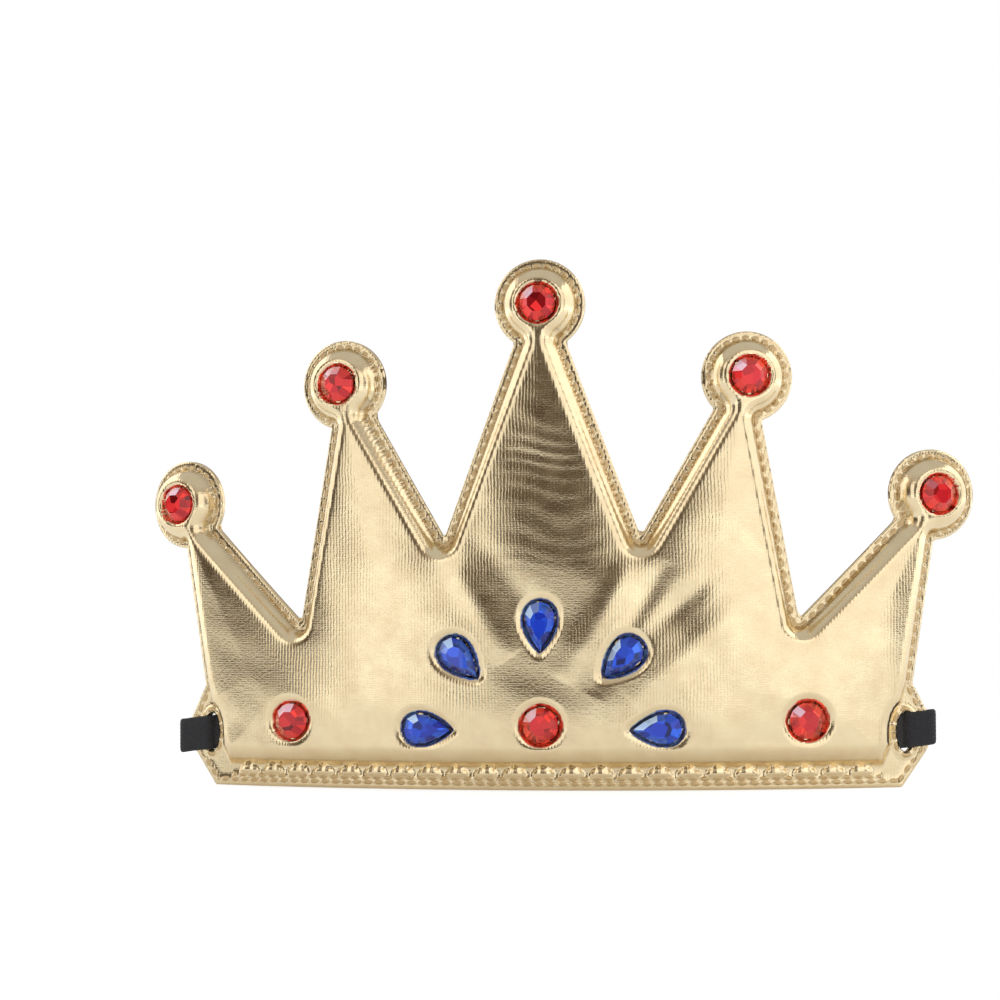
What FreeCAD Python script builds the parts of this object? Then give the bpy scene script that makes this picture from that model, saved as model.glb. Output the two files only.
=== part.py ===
"""Padded costume crown of gold foil fabric, bent round a head.

The crown is drawn as a flat pattern and wrapped on an upright cylinder.
In the flat pattern, along is the distance from the middle of the crown,
measured on the front of its seam, and rise is the height above the bottom edge.
X runs across, the front looks along -Y, and Z is up.
The origin is under the middle of the whole crown, strap included.
"""
import FreeCAD, Part
import math
import os

import Sketcher
from FreeCAD import Placement, Rotation, Vector

os.makedirs("parts", exist_ok=True)
doc = FreeCAD.newDocument("padded_crown")

# Driving dimensions, in millimetres and degrees
SIZES = {
    "bend_radius": 270.0,
    "cover_ply": 0.6,
    "backing_ply": 0.6,
    "seam_width": 3.0,
    "pad_rise": 6.2,
    "shoulder_radius": 1.6,
    "base_half": 98.5,
    "ear_low_along": 104.9,
    "ear_low_rise": 8.3,
    "ear_high_along": 105.9,
    "ear_high_rise": 21.3,
    "ear_along": 95.3,
    "ear_rise": 16.0,
    "ear_radius": 12.2,
    "notch_along": 102.0,
    "notch_rise": 28.2,
    "end_tip_along": 112.1,
    "end_tip_rise": 87.0,
    "outer_valley_along": 70.0,
    "outer_valley_rise": 45.9,
    "middle_tip_along": 56.9,
    "middle_tip_rise": 119.5,
    "inner_valley_along": 27.1,
    "inner_valley_rise": 68.7,
    "centre_tip_rise": 140.9,
    "ball_radius": 12.5,
    "end_ball_along": 108.5,
    "end_ball_rise": 79.9,
    "middle_ball_along": 56.5,
    "middle_ball_rise": 112.0,
    "centre_ball_rise": 132.5,
    "hole_along": 99.7,
    "hole_rise": 15.0,
    "hole_width": 5.0,
    "hole_height": 10.8,
    "ring_width": 1.5,
    "ring_lift": 0.5,
    "pad_base_half": 92.5,
    "hem_height": 6.3,
    "scallop_rise": 3.4,
    "scallop_radius": 3.25,
    "scallop_pitch": 7.9,
    "scallop_lift": 1.3,
    "seat_depth": 2.4,
    "seat_clearance": 0.5,
    "red_radius": 4.9,
    "red_girdle": 1.0,
    "red_height": 3.2,
    "red_table_radius": 2.6,
    "red_facet_share": 0.99,
    "base_red_along": 70.9,
    "base_red_rise": 18.6,
    "centre_red_rise": 17.7,
    "blue_length": 13.2,
    "blue_width": 8.2,
    "blue_girdle": 1.2,
    "blue_height": 2.9,
    "blue_table_share": 0.55,
    "top_blue_rise": 44.6,
    "upper_blue_along": 21.8,
    "upper_blue_rise": 35.8,
    "upper_blue_turn": 45.0,
    "lower_blue_along": 31.0,
    "lower_blue_rise": 16.7,
    "lower_blue_turn": 88.0,
    "strap_width": 9.6,
    "strap_thickness": 1.2,
    "strap_clearance": 0.2,
    "strap_fold_radius": 1.0,
    "strap_tail": 14.0,
    "tack_width": 6.0,
    "tack_length": 4.0,
    "tack_thickness": 0.4,
}

# Facets round the crown of a stone, and sides of a teardrop's recess
RED_FACETS = 8
BLUE_FACETS = 12
BLUE_SEAT_SIDES = 24

sheet = doc.addObject("Spreadsheet::Sheet", "Sizes")
for row, (alias, number) in enumerate(SIZES.items(), start=1):
    sheet.set(f"A{row}", alias)
    sheet.set(f"B{row}", str(number))
    sheet.setAlias(f"B{row}", alias)
doc.recompute()

# Upright local frame of a flat shape: its own X stays across, its own Y points up
UPRIGHT = Rotation(Vector(1, 0, 0), 90)
# Same, with the shape's own X pointing up
UPRIGHT_TALL = Rotation(Vector(0, 0, 1), Vector(1, 0, 0), Vector(0, 1, 0), "XYZ")

# Where the elastic leaves each ear: along the pattern, behind the seam, and its heading
RUN_ALONG = "(Sizes.hole_along + Sizes.strap_thickness + Sizes.strap_clearance)"
RUN_DEPTH = ("(Sizes.cover_ply + Sizes.backing_ply + Sizes.strap_clearance"
             " + Sizes.strap_thickness / 2 + Sizes.strap_tail)")
RUN_TURN = f"({RUN_ALONG} / Sizes.bend_radius * 1rad)"
RUN_REACH = f"(Sizes.bend_radius - {RUN_DEPTH})"
# From there one arc, tangent at both ears, bows round the back of the head
BOW_DEPTH = f"({RUN_REACH} * tan({RUN_TURN}) * (1 - sin({RUN_TURN})))"
BACK_REACH = (f"(Sizes.bend_radius - {RUN_REACH} * cos({RUN_TURN}) + {BOW_DEPTH}"
              " + Sizes.strap_thickness / 2)")
# How far the red stones stand in front of the seam, and where the seam's front lies
FRONT_REACH = "(Sizes.pad_rise - Sizes.seat_depth + Sizes.red_height)"
SEAM_Y = f"(({FRONT_REACH} - {BACK_REACH}) / 2)"
AXIS_Y = f"({SEAM_Y} + Sizes.bend_radius)"


def size(alias):
    """The number in the sheet under this alias."""
    return float(sheet.get(alias))


def value_of(expression):
    """What an expression on the sheet comes to, as a plain number."""
    return float(sheet.evalExpression(expression))


def across(along):
    """Expression for X of a point that lies this far along the seam's front."""
    return f"(Sizes.bend_radius * sin(({along}) / Sizes.bend_radius * 1rad))"


def bind(item, **expressions):
    """Bind properties of an object to expressions; a double underscore is a dot."""
    for prop, expression in expressions.items():
        item.setExpression(prop.replace("__", "."), expression)
    return item


def add(kind, name, **expressions):
    """New object with these properties bound to expressions."""
    return bind(doc.addObject(kind, name), **expressions)


def cut(name, first, second):
    """First shape without the second."""
    item = doc.addObject("Part::Cut", name)
    item.Base = first
    item.Tool = second
    return item


def gather(kind, name, items):
    """Part::MultiFuse or Part::MultiCommon of several shapes."""
    item = doc.addObject(kind, name)
    item.Shapes = items
    item.Refine = True
    return item


def layer(name, inner, outer):
    """Curved layer between two heights above the seam's front, each an expression."""
    walls = []
    for side, level in (("inner", inner), ("outer", outer)):
        walls.append(add(
            "Part::Cylinder", f"{name}_{side}",
            Radius=f"Sizes.bend_radius + {level}",
            Height="Sizes.centre_ball_rise + 2 * Sizes.ball_radius",
            Placement__Base__y=AXIS_Y,
            Placement__Base__z="-Sizes.ball_radius / 2",
        ))
    return cut(name, walls[1], walls[0])


def prism(name, flat):
    """Straight prism along Y through the crown, from a flat shape that faces it."""
    item = add("Part::Extrusion", name, LengthFwd="Sizes.bend_radius / 2",
               LengthRev="Sizes.bend_radius / 2")
    item.Base = flat
    item.DirMode = "Custom"
    item.Dir = Vector(0, 1, 0)
    item.Solid = True
    return item


def disc(name, along, rise, radius):
    """Flat disc that faces the front."""
    circle = add("Part::Circle", f"{name}_edge", Radius=radius)
    circle.Placement = Placement(Vector(), UPRIGHT)
    bind(circle, Placement__Base__x=across(along), Placement__Base__z=rise)
    return face(name, circle)


def face(name, edge):
    """Flat face inside one closed edge or sketch."""
    item = doc.addObject("Part::Face", name)
    item.Sources = [edge]
    item.FaceMakerClass = "Part::FaceMakerSimple"
    return item


def one_face(name, source):
    """One face inside the border of a fused flat shape: the edges used only once."""
    doc.recompute()
    uses = {}
    for patch in source.Shape.Faces:
        for edge in patch.Edges:
            uses.setdefault(edge.hashCode(), []).append(edge)
    border = [found[0] for found in uses.values() if len(found) == 1]
    item = doc.addObject("Part::Feature", name)
    item.Shape = Part.Face(Part.Wire(Part.__sortEdges__(border)))
    return item


def mirrored(name, source):
    """Left half from a right half."""
    item = doc.addObject("Part::Mirroring", name)
    item.Source = source
    item.Normal = Vector(1, 0, 0)
    return item


def both_sides(name, source):
    """A shape on the right together with its mirror image on the left."""
    return gather("Part::MultiFuse", name, [source, mirrored(f"{name}_mirror", source)])


def inset(name, source, distance):
    """Flat shape drawn in from its border by a distance."""
    item = add("Part::Offset2D", name, Value=f"-({distance})")
    item.Source = source
    item.Join = "Arc"
    return item


SPIKE_CORNERS = [
    ("Sizes.notch_along", "Sizes.notch_rise"),
    ("Sizes.end_tip_along", "Sizes.end_tip_rise"),
    ("Sizes.outer_valley_along", "Sizes.outer_valley_rise"),
    ("Sizes.middle_tip_along", "Sizes.middle_tip_rise"),
    ("Sizes.inner_valley_along", "Sizes.inner_valley_rise"),
    ("0", "Sizes.centre_tip_rise"),
]
EAR_CORNERS = [
    ("0", "0"),
    ("Sizes.base_half", "0"),
    ("Sizes.ear_low_along", "Sizes.ear_low_rise"),
    ("Sizes.ear_high_along", "Sizes.ear_high_rise"),
]
PAD_CORNERS = [
    ("0", "Sizes.hem_height - Sizes.seam_width"),
    ("Sizes.pad_base_half + Sizes.seam_width", "Sizes.hem_height - Sizes.seam_width"),
]


def half_outline(name, corners):
    """Right half of the base and spikes: straight runs from corner to corner."""
    sketch = doc.addObject("Sketcher::SketchObject", name)
    sketch.Placement = Placement(Vector(), UPRIGHT)
    guesses = [Vector(value_of(across(along)), value_of(rise)) for along, rise in corners]
    for index, start in enumerate(guesses):
        end = guesses[(index + 1) % len(guesses)]
        sketch.addGeometry(Part.LineSegment(start, end), False)
    for index, (along, rise) in enumerate(corners):
        following = (index + 1) % len(corners)
        sketch.addConstraint(Sketcher.Constraint("Coincident", index, 2, following, 1))
        for kind, value, expression in (
            ("DistanceX", guesses[index].x, across(along)),
            ("DistanceY", guesses[index].y, rise),
        ):
            number = sketch.addConstraint(
                Sketcher.Constraint(kind, -1, 1, index, 1, value))
            sketch.setExpression(f"Constraints[{number}]", expression)
    return face(f"{name}_face", sketch)


def with_balls(name, corners, more):
    """Whole outline of the spikes with their five balls, and more discs each side."""
    right = gather("Part::MultiFuse", f"{name}_right", [
        half_outline(f"{name}_spikes", corners + SPIKE_CORNERS),
        disc(f"{name}_middle_ball", "Sizes.middle_ball_along", "Sizes.middle_ball_rise",
             "Sizes.ball_radius"),
        disc(f"{name}_end_ball", "Sizes.end_ball_along", "Sizes.end_ball_rise",
             "Sizes.ball_radius"),
    ] + more)
    centre = disc(f"{name}_centre_ball", "0", "Sizes.centre_ball_rise",
                  "Sizes.ball_radius")
    whole = gather("Part::MultiFuse", f"{name}_halves",
                   [right, mirrored(f"{name}_left", right), centre])
    return one_face(name, whole)


def rounded_front(name, blank, front_level, radius):
    """Round the front edge of a curved pad, whose front lies at this level."""
    doc.recompute()
    axis_y = blank.Shape.BoundBox.YMin + size("bend_radius") + front_level
    edges = []
    for number, edge in enumerate(blank.Shape.Edges, start=1):
        middle = edge.valueAt((edge.FirstParameter + edge.LastParameter) / 2)
        level = math.hypot(middle.x, middle.y - axis_y) - size("bend_radius")
        if abs(level - front_level) < size("cover_ply") / 10:
            edges.append((number, radius, radius))
    item = doc.addObject("Part::Fillet", name)
    item.Base = blank
    item.Edges = edges
    return item


def station(along, rise, level, turn=0.0):
    """Place on the wrapped pattern, its own -Y outward, turned about that direction."""
    angle = along / size("bend_radius")
    reach = size("bend_radius") + level
    spot = Vector(reach * math.sin(angle),
                  value_of(AXIS_Y) - reach * math.cos(angle), rise)
    swing = Rotation(Vector(0, 0, 1), math.degrees(angle))
    return Placement(spot, swing * Rotation(Vector(0, -1, 0), turn))


def teardrop(length, width, facets):
    """Polygon of a teardrop, tip down: across = sin t sin(t/2), up = -cos t, scaled."""
    widest = 4 / (3 * math.sqrt(3))
    points = []
    for step in range(facets):
        turn = 2 * math.pi * step / facets
        sideways = width / 2 / widest * math.sin(turn) * math.sin(turn / 2)
        points.append(Vector(sideways, 0, -length / 2 * math.cos(turn)))
    return Part.makePolygon(points + points[:1])


def blue_stone(name, place):
    """Flat-backed teardrop: straight girdle, then facets up to a small table."""
    outline = teardrop(size("blue_length"), size("blue_width"), BLUE_FACETS)
    share = size("blue_table_share")
    table = teardrop(size("blue_length") * share, size("blue_width") * share,
                     BLUE_FACETS)
    table.translate(Vector(0, -size("blue_height"), 0))
    girdle = Part.Face(outline).extrude(Vector(0, -size("blue_girdle"), 0))
    shoulder = outline.translated(Vector(0, -size("blue_girdle"), 0))
    crown = Part.makeLoft([shoulder, table], True, True)
    item = doc.addObject("Part::Feature", name)
    item.Shape = girdle.fuse(crown).removeSplitter()
    item.Placement = place
    return item


def blue_seat(name, place, spare):
    """Pressed recess for a teardrop, wider than the stone by the clearance and spare."""
    wider = 2 * (size("seat_clearance") + spare)
    edge = teardrop(size("blue_length") + wider, size("blue_width") + wider,
                    BLUE_SEAT_SIDES)
    item = doc.addObject("Part::Feature", name)
    item.Shape = Part.Face(edge).extrude(Vector(0, -size("pad_rise"), 0))
    item.Placement = place
    return item


def red_stone(name, place):
    """Round flat-backed stone: thin girdle under eight facets and a flat table."""
    girdle = add("Part::Cylinder", f"{name}_girdle", Radius="Sizes.red_radius",
                 Height="Sizes.red_girdle")
    girdle.Placement = Placement(Vector(), UPRIGHT)
    rims = []
    for part, radius, level in (
        ("foot", "Sizes.red_radius * Sizes.red_facet_share", "-Sizes.red_girdle"),
        ("table", "Sizes.red_table_radius", "-Sizes.red_height"),
    ):
        rim = add("Part::RegularPolygon", f"{name}_{part}", Circumradius=radius)
        rim.Polygon = RED_FACETS
        rim.Placement = Placement(Vector(), UPRIGHT)
        rims.append(bind(rim, Placement__Base__y=level))
    crown = doc.addObject("Part::Loft", f"{name}_facets")
    crown.Sections = rims
    crown.Solid = True
    crown.Ruled = True
    item = gather("Part::MultiFuse", name, [girdle, crown])
    item.Placement = place
    return item


def red_seat(name, place, spare):
    """Pressed round recess for a red stone."""
    item = add("Part::Cylinder", name, Height="Sizes.pad_rise",
               Radius=f"Sizes.red_radius + Sizes.seat_clearance + {spare}")
    item.Placement = place * Placement(Vector(), UPRIGHT)
    return item


# Where the stones sit in the flat pattern, and how far each teardrop's tip swings
RED_SPOTS = [(0.0, size("centre_ball_rise")), (0.0, size("centre_red_rise"))]
for along, rise in (
    (size("middle_ball_along"), size("middle_ball_rise")),
    (size("end_ball_along"), size("end_ball_rise")),
    (size("base_red_along"), size("base_red_rise")),
):
    RED_SPOTS += [(-along, rise), (along, rise)]
BLUE_SPOTS = [(0.0, size("top_blue_rise"), 0.0)]
for along, rise, turn in (
    (size("upper_blue_along"), size("upper_blue_rise"), size("upper_blue_turn")),
    (size("lower_blue_along"), size("lower_blue_rise"), size("lower_blue_turn")),
):
    BLUE_SPOTS += [(-along, rise, turn), (along, rise, -turn)]


def seats(name, floor_level, spare):
    """All recesses of one layer, floors at this level, walls set back by spare."""
    holes = [red_seat(f"{name}_red_{number}", station(*spot, floor_level), spare)
             for number, spot in enumerate(RED_SPOTS, start=1)]
    for number, (along, rise, turn) in enumerate(BLUE_SPOTS, start=1):
        place = station(along, rise, floor_level, turn)
        holes.append(blue_seat(f"{name}_blue_{number}", place, spare))
    return gather("Part::MultiFuse", name, holes)


def oval(name, spare):
    """Upright oval round an elastic's hole, larger by spare on every side."""
    bend = "cos(Sizes.hole_along / Sizes.bend_radius * 1rad)"
    edge = add("Part::Ellipse", f"{name}_edge",
               MajorRadius=f"Sizes.hole_height / 2 + {spare}",
               MinorRadius=f"(Sizes.hole_width / 2 + {spare}) * {bend}")
    edge.Placement = Placement(Vector(), UPRIGHT_TALL)
    bind(edge, Placement__Base__x=across("Sizes.hole_along"),
         Placement__Base__z="Sizes.hole_rise")
    return both_sides(f"{name}_pair", prism(name, face(f"{name}_face", edge)))


def scallops():
    """Row of half-round puffs pressed into the hem, above its stitched edge."""
    reach = size("hole_along") - size("hole_width") - size("scallop_radius")
    steps = int(reach / size("scallop_pitch"))
    rounds = []
    for step in range(-steps, steps + 1):
        puff = add("Part::Cylinder", f"scallop_{step + steps + 1}",
                   Radius="Sizes.scallop_radius", Height="Sizes.bend_radius")
        puff.Placement = Placement(Vector(), UPRIGHT)
        bind(puff, Placement__Base__x=across(f"({step} * Sizes.scallop_pitch)"),
             Placement__Base__y="Sizes.bend_radius / 2",
             Placement__Base__z="Sizes.scallop_rise")
        rounds.append(puff)
    row = gather("Part::MultiFuse", "scallop_rounds", rounds)
    above = add("Part::Box", "above_hem_stitches",
                Length="2 * Sizes.base_half", Width="Sizes.bend_radius",
                Height="2 * Sizes.scallop_radius",
                Placement__Base__x="-Sizes.base_half",
                Placement__Base__y="-Sizes.bend_radius / 2",
                Placement__Base__z="Sizes.scallop_rise")
    skin = layer("scallop_layer", "(-Sizes.cover_ply / 2)", "Sizes.scallop_lift")
    return gather("Part::MultiCommon", "scallop_row", [row, above, skin])


def crown_pieces():
    """Backing, padding and front cover, pressed together along the seam."""
    ear = disc("ear", "Sizes.ear_along", "Sizes.ear_rise", "Sizes.ear_radius")
    full = prism("full_prism", with_balls("outline", EAR_CORNERS, [ear]))
    padded_area = inset("padded_area", with_balls("pad_base", PAD_CORNERS, []),
                        "Sizes.seam_width")
    holes = oval("hole", "0")

    backing = gather("Part::MultiCommon", "backing_blank", [full, layer(
        "backing_layer", "(-Sizes.cover_ply - Sizes.backing_ply)", "(-Sizes.cover_ply)")])
    back_cover = cut("back_cover", backing, holes)

    foam_blank = gather("Part::MultiCommon", "foam_blank", [
        prism("foam_prism", inset("foam_outline", padded_area, "Sizes.cover_ply")),
        layer("foam_layer", "(-Sizes.cover_ply)", "(Sizes.pad_rise - Sizes.cover_ply)")])
    foam_round = rounded_front("foam_round", foam_blank,
                               size("pad_rise") - size("cover_ply"),
                               size("shoulder_radius") - size("cover_ply"))
    floor = size("pad_rise") - size("seat_depth")
    foam_pad = cut("foam_pad", foam_round, seats(
        "foam_seats", floor - size("cover_ply"), size("cover_ply")))

    dome_blank = gather("Part::MultiCommon", "dome_blank", [
        prism("dome_prism", padded_area),
        layer("dome_layer", "(-Sizes.cover_ply)", "Sizes.pad_rise")])
    dome = rounded_front("dome", dome_blank, size("pad_rise"), size("shoulder_radius"))
    seated_dome = cut("seated_dome", dome,
                          seats("cover_seats", floor, 0.0))
    flange = gather("Part::MultiCommon", "flange", [full, layer(
        "flange_layer", "(-Sizes.cover_ply)", "0")])
    rings = gather("Part::MultiCommon", "ear_rings", [
        oval("ring", "Sizes.ring_width"),
        layer("ring_layer", "(-Sizes.cover_ply / 2)", "Sizes.ring_lift"), full])
    skin = gather("Part::MultiFuse", "cover_skin",
                  [flange, seated_dome, rings, scallops()])
    drilled = cut("drilled_skin", skin, holes)
    front_cover = cut("front_cover", drilled, foam_pad)
    return [back_cover, foam_pad, front_cover]


def stones():
    """Every stone, flat on the floor of its recess."""
    floor = size("pad_rise") - size("seat_depth")
    pieces = [red_stone(f"red_stone_{number}", station(*spot, floor))
              for number, spot in enumerate(RED_SPOTS, start=1)]
    for number, (along, rise, turn) in enumerate(BLUE_SPOTS, start=1):
        place = station(along, rise, floor, turn)
        pieces.append(blue_stone(f"blue_stone_{number}", place))
    return pieces


def ear_loop():
    """Middle line of the elastic at the right ear, seen from above: points and bends.

    From its sewn tail it comes forward through the hole, folds over the front and the
    edge of the ear, turns back behind it and leaves beside the tail.
    """
    half = size("strap_thickness") / 2
    gap = size("strap_clearance")
    fold = size("strap_fold_radius")
    front = half + gap
    behind = -(size("cover_ply") + size("backing_ply") + gap + half)
    edge = size("ear_along") + size("ear_radius") + gap + half
    run = value_of(RUN_ALONG)
    points = [
        (size("hole_along"), behind - size("strap_tail"), 0.0),
        (size("hole_along"), front, fold),
        (edge, front, (front - behind) / 2),
        (edge, behind, (front - behind) / 2),
        (run, behind, fold),
        (run, -value_of(RUN_DEPTH), 0.0),
    ]
    return [(station(along, size("hole_rise"), level).Base, bend)
            for along, level, bend in points]


def rounded_edges(corners):
    """Edges through these corners, each rounded by a tangent arc of its own radius."""
    edges = []
    start = corners[0][0]
    for (before, _), (corner, bend), (after, _) in zip(corners, corners[1:], corners[2:]):
        arriving = (corner - before).normalize()
        leaving = (after - corner).normalize()
        half_turn = arriving.getAngle(leaving) / 2
        enter = corner - arriving * bend * math.tan(half_turn)
        leave = corner + leaving * bend * math.tan(half_turn)
        inward = (leaving - arriving).normalize()
        middle = corner + inward * (bend / math.cos(half_turn) - bend)
        if (enter - start).Length > bend / 1000:
            edges.append(Part.LineSegment(start, enter).toShape())
        edges.append(Part.Arc(enter, middle, leave).toShape())
        start = leave
    edges.append(Part.LineSegment(start, corners[-1][0]).toShape())
    return edges


def elastic_strap():
    """Flat woven elastic, its width upright, looped through both ears."""
    loop = ear_loop()
    right = rounded_edges(loop)
    leave = loop[-1][0]
    back = value_of(SEAM_Y) + value_of(BACK_REACH) - size("strap_thickness") / 2
    bow = Part.Arc(leave, Vector(0, back, leave.z), Vector(-leave.x, leave.y, leave.z))
    left = [edge.mirror(Vector(), Vector(1, 0, 0)) for edge in reversed(right)]
    path = Part.Wire(right + [bow.toShape()] + left)
    place = station(size("hole_along"), size("hole_rise"), -value_of(RUN_DEPTH))
    thick = size("strap_thickness") / 2
    wide = size("strap_width") / 2
    corners = [place.multVec(Vector(x, 0, z)) for x, z in (
        (-thick, -wide), (thick, -wide), (thick, wide), (-thick, wide), (-thick, -wide))]
    section = Part.makePolygon(corners)
    item = doc.addObject("Part::Feature", "elastic_strap")
    item.Shape = path.makePipeShell([section], True, False)
    print("strap length, mm:", round(path.Length, 1))
    return item


def strap_tacks():
    """Block of sewing thread that holds each tail against the strap."""
    pieces = []
    half = size("strap_thickness") / 2
    behind = size("cover_ply") + size("backing_ply") + size("strap_clearance") + half
    middle = behind + size("strap_tail") - size("tack_length")
    for side, name in ((-1, "strap_tack_left"), (1, "strap_tack_right")):
        place = station(side * size("hole_along"), size("hole_rise"), -middle)
        block = add("Part::Box", name, Length="Sizes.tack_thickness",
                    Width="Sizes.tack_length", Height="Sizes.tack_width")
        inner = -half - size("tack_thickness") if side > 0 else half
        block.Placement = place * Placement(
            Vector(inner, -size("tack_length") / 2, -size("tack_width") / 2), Rotation())
        pieces.append(block)
    return pieces


def check(item):
    """Stop if a finished piece failed, is empty or isn't valid."""
    shape = item.Shape
    if shape.isNull() or not shape.isValid() or not shape.Solids:
        raise RuntimeError(f"{item.Label} has no valid solid")


pieces = crown_pieces() + stones() + [elastic_strap()] + strap_tacks()
doc.recompute()
for item in doc.Objects:
    if "Invalid" in item.State or "Error" in item.State:
        raise RuntimeError(f"{item.Label} failed: {item.State}")
for item in pieces:
    check(item)
for item in pieces:
    item.Shape.exportStep(f"parts/{item.Label}.step")
    box = item.Shape.BoundBox
    print(item.Label, len(item.Shape.Solids), round(item.Shape.Volume, 2),
          [round(value, 2) for value in (box.XMin, box.YMin, box.ZMin,
                                         box.XMax, box.YMax, box.ZMax)])
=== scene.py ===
import math

import bpy
import numpy as np
from mathutils import Matrix, Vector


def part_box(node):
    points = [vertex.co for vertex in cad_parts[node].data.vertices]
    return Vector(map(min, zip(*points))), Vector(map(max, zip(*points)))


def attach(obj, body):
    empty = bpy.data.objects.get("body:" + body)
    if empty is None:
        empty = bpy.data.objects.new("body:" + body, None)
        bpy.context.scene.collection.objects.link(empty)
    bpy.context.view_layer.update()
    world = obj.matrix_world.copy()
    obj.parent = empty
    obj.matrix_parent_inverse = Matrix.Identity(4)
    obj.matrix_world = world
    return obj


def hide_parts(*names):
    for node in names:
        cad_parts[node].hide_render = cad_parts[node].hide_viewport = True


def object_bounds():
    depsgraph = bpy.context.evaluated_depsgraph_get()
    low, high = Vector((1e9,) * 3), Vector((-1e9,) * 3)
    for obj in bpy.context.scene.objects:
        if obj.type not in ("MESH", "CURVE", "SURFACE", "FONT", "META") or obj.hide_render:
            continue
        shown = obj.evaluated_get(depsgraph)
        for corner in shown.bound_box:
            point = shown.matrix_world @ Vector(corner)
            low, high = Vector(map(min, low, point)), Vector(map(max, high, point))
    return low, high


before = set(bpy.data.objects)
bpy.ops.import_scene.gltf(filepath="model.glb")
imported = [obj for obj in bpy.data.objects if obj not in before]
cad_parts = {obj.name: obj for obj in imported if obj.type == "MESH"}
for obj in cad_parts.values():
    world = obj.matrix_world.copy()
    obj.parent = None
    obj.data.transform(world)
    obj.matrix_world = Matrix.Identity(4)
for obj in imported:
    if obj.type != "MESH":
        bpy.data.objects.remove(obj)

CAD_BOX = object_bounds()

# Lengths are in millimetres and become metres in wrap() and in the meshes
MM = 0.001
BEND_RADIUS = 270.0
COVER_PLY = 0.6
SHELL_PLY = 1.2
# Front of the seam at the middle of the crown; the backing lies one ply behind it
SEAM_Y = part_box("back_cover")[0].y / MM - COVER_PLY

# Flat pattern of the right half: corner or tip, then the centre and radius of its ball
BALL = 12.45
EAR = ((95.3, 16.0), 12.2)
NOTCH = (102.0, 28.2)
SPIKES = [
    ((112.1, 87.0), ((108.5, 79.9), BALL)),
    ((70.0, 45.9), None),
    ((56.9, 119.5), ((56.5, 112.0), BALL)),
    ((27.1, 68.7), None),
]
CENTRE_TIP = ((0.0, 140.9), ((0.0, 132.5), BALL + 0.05))
BASE_HALF = 98.5
EAR_TIP = (109.4, 14.5)
OUTLINE_PATH = [((BASE_HALF, 0.0), None), (EAR_TIP, EAR), (NOTCH, None)] + SPIKES

# The padded area is the same path, cut straight at the hem and inside the ears
SEAM_WIDTH = 3.0
HEM_HEIGHT = 6.3
PAD_BASE_HALF = 92.5
PAD_PATH = [((PAD_BASE_HALF + SEAM_WIDTH, HEM_HEIGHT - SEAM_WIDTH), None),
            (NOTCH, None)] + SPIKES

# The stuffed front bulges over the seam's inner edge by the spread
PAD_RISE = 6.2
PAD_SPREAD = 0.7
SHOULDER = 4.6
STITCH_PITCH = 3.24
STITCH_ROW = 1.75
HEM_ROW = 3.05
SCALLOP_BASE = 3.5
SCALLOP_RADIUS = 3.25
SCALLOP_PITCH = 7.9
SCALLOP_STEPS = 11

# Ear hole: middle, half width and half height; then its ring of stitches
HOLE = ((99.7, 15.0), 2.5, 5.4)
EAR_ROW = 0.95
EAR_RING = 2.3

# Knit: distance between its upright ribs, and between its rows of loops
RIB_PITCH = 0.88
LOOP_PITCH = 0.62

# Each stone lies on a flat floor, in a dimple with a lip a little over its girdle
SEAT_FLOOR = 3.8
SEAT_LIP = 5.45
SEAT_SLACK = 0.15
DIMPLE_REACH = 2.6
RED_RADIUS = 4.9
RED_TABLE = 2.75
RED_GIRDLE = 1.0
RED_HEIGHT = 3.2
BLUE_LENGTH = 13.2
BLUE_WIDTH = 8.2
BLUE_TABLE_SHARE = 0.58
BLUE_GIRDLE = 1.2
BLUE_HEIGHT = 2.9
# Red stones: node number, along, rise; blue: node number, along, rise, tip's swing
RED_STONES = [(1, 0.0, 132.5), (2, 0.0, 17.7), (3, -56.5, 112.0), (4, 56.5, 112.0),
              (5, -108.5, 79.9), (6, 108.5, 79.9), (7, -70.9, 18.6), (8, 70.9, 18.6)]
BLUE_STONES = [(1, 0.0, 44.6, 0.0), (2, -21.8, 35.8, 45.0), (3, 21.8, 35.8, -45.0),
               (4, -31.0, 16.7, 88.0), (5, 31.0, 16.7, -88.0)]


def wrap(along, rise, level):
    """Flat pattern to world, in metres.

    along over the bend radius is the turn about the head's upright axis, level is
    the distance out from the seam's front, and rise is the height.
    """
    turn = along / BEND_RADIUS
    reach = BEND_RADIUS + level
    depth = SEAM_Y + BEND_RADIUS - reach * np.cos(turn)
    return np.stack(np.broadcast_arrays(reach * np.sin(turn), depth, rise), -1) * MM


def nearest_crossing(start, tip, centre, radius):
    """Point nearest the tip where the run from start to tip crosses a circle."""
    heading = tip - start
    offset = start - centre
    a = heading @ heading
    b = offset @ heading
    c = offset @ offset - radius ** 2
    root = math.sqrt(b * b - a * c)
    along = max(t for t in ((-b - root) / a, (-b + root) / a) if t <= 1.0)
    return start + heading * along


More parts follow.
